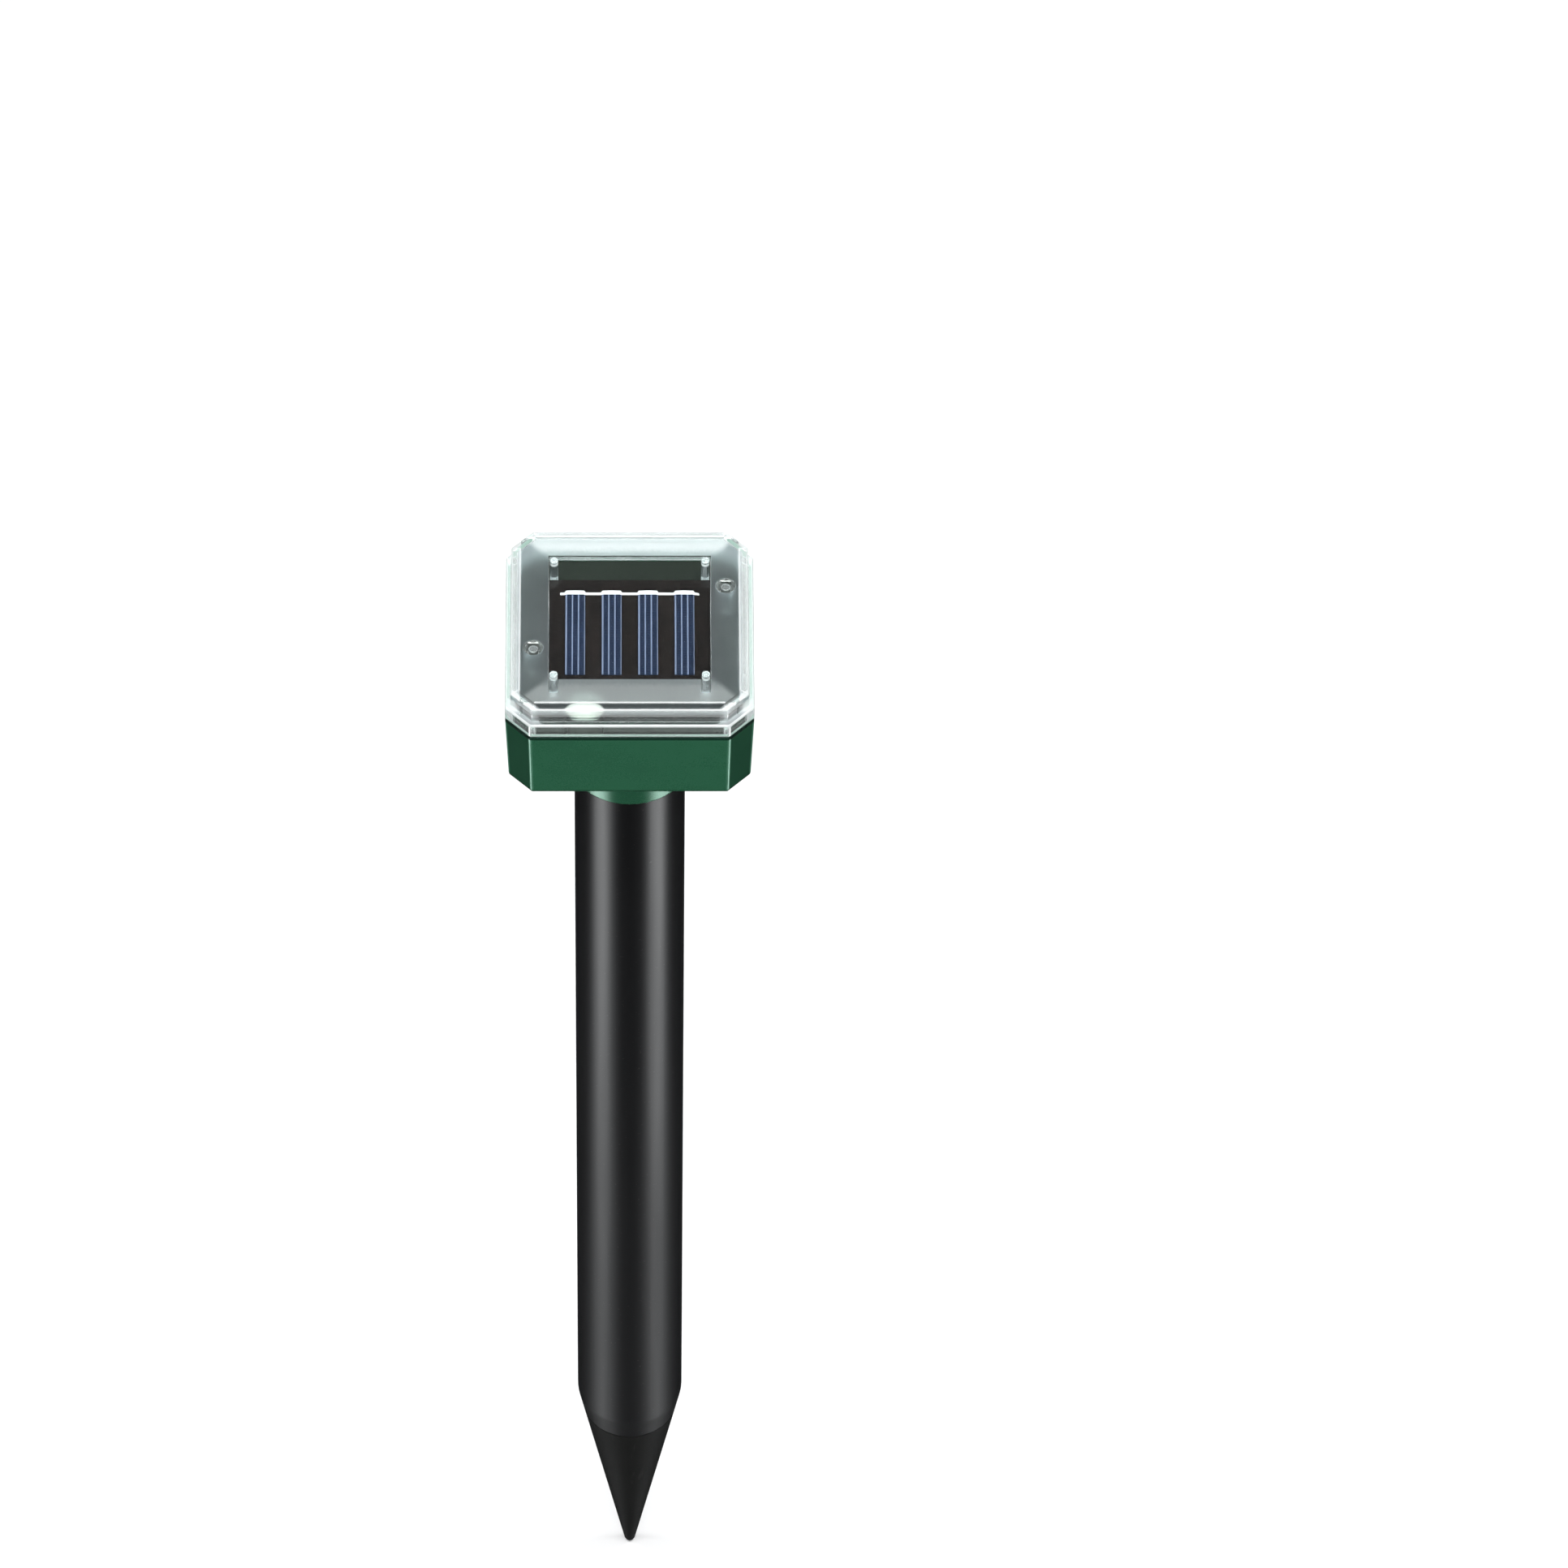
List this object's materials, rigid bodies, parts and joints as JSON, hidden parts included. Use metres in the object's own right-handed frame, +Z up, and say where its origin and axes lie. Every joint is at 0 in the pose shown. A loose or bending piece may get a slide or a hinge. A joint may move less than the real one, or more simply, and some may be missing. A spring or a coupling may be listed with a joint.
{
  "type": "ultrasonic pest repeller",
  "caption": "Solar pest repeller: square head with cut corners and a clear lid over a solar panel, on a round tube that holds a loudspeaker and ends in a spike for soft ground.",
  "frame": {"origin": "on the axis of the tube at soil level, 25 mm below the rim of the head's neck", "axes": "+Z up along the tube, the head's front with the status light faces -Y, +X to the right seen from the front"},
  "size_m": [0.0664, 0.0664, 0.4114],
  "materials": {
    "green_shell": "fine moulded texture, satin",
    "clear_lid": "clear moulded plastic, frosted border round a clear window",
    "seal_rubber": "matt",
    "seal_pale": "pale soft rubber",
    "screw_steel": "zinc plated",
    "panel_black": "black board under clear resin",
    "solar_blue": "blue polycrystalline silicon with silver lines",
    "ribbon_tin": "tinned flat wire",
    "foam": "foam pad",
    "wire_red": "insulated wire",
    "tray_black": "satin",
    "led_lens": "diffused lens, lit",
    "board_green": "lacquered circuit board",
    "chip_black": "moulded package",
    "part_tan": "ceramic parts",
    "cap_sleeve": "printed sleeve, left plain",
    "copper": "enamelled copper winding",
    "inner_black": "satin",
    "button_dark": "matt",
    "cell_wrap": "shrink sleeve, left plain",
    "tube_black": "satin black",
    "spike_black": "moulded, matt",
    "magnet": "ferrite",
    "cone_paper": "treated paper"
  },
  "bodies": {
    "stake": {"tube_spigot": "inner_black", "neck_seal": "seal_rubber", "lead_plug": "inner_black", "speaker_lead": "seal_rubber", "stake_tube": "tube_black", "ground_spike": "spike_black", "speaker_ring": "seal_rubber", "speaker_frame": "screw_steel", "speaker_plate": "screw_steel", "speaker_magnet": "magnet", "speaker_yoke": "screw_steel", "speaker_surround": "seal_rubber"},
    "head": {"housing": "green_shell", "clear_lid": "clear_lid", "lid_seal": "seal_pale", "lid_screws": "screw_steel", "panel_board": "panel_black", "solar_cells": "solar_blue", "cell_ribbons": "ribbon_tin", "panel_pads": "foam", "panel_leads": "wire_red", "panel_tray": "tray_black", "status_led": "led_lens", "led_leads": "wire_red", "control_board": "board_green", "board_screws": "screw_steel", "controller_chip": "chip_black", "chip_parts": "part_tan", "capacitors": "cap_sleeve", "boost_coil": "copper", "lead_socket": "inner_black", "switch_body": "inner_black", "button_seal": "seal_rubber", "battery_holder": "inner_black", "battery_cell": "cell_wrap", "battery_spring": "screw_steel", "battery_contact": "screw_steel", "battery_leads": "wire_red"},
    "button": {"power_button": "button_dark"},
    "cone": {"speaker_cone": "cone_paper", "voice_coil": "copper"}
  },
  "joints": [
    {"name": "head_swivel", "type": "hinge", "parent": "stake", "child": "head", "pos_m": [0, 0, 0.037], "axis": [0, 0, 1], "continuous": true},
    {"name": "button_press", "type": "slide", "parent": "head", "child": "button", "axis": [0, 0, 1], "range_m": [0, 0.0012], "stiffness_N_per_m": 900, "springref_m": -0.0006},
    {"name": "cone_travel", "type": "slide", "parent": "stake", "child": "cone", "axis": [0, 0, 1], "range_m": [-0.0004, 0.0004], "stiffness_N_per_m": 900}
  ]
}
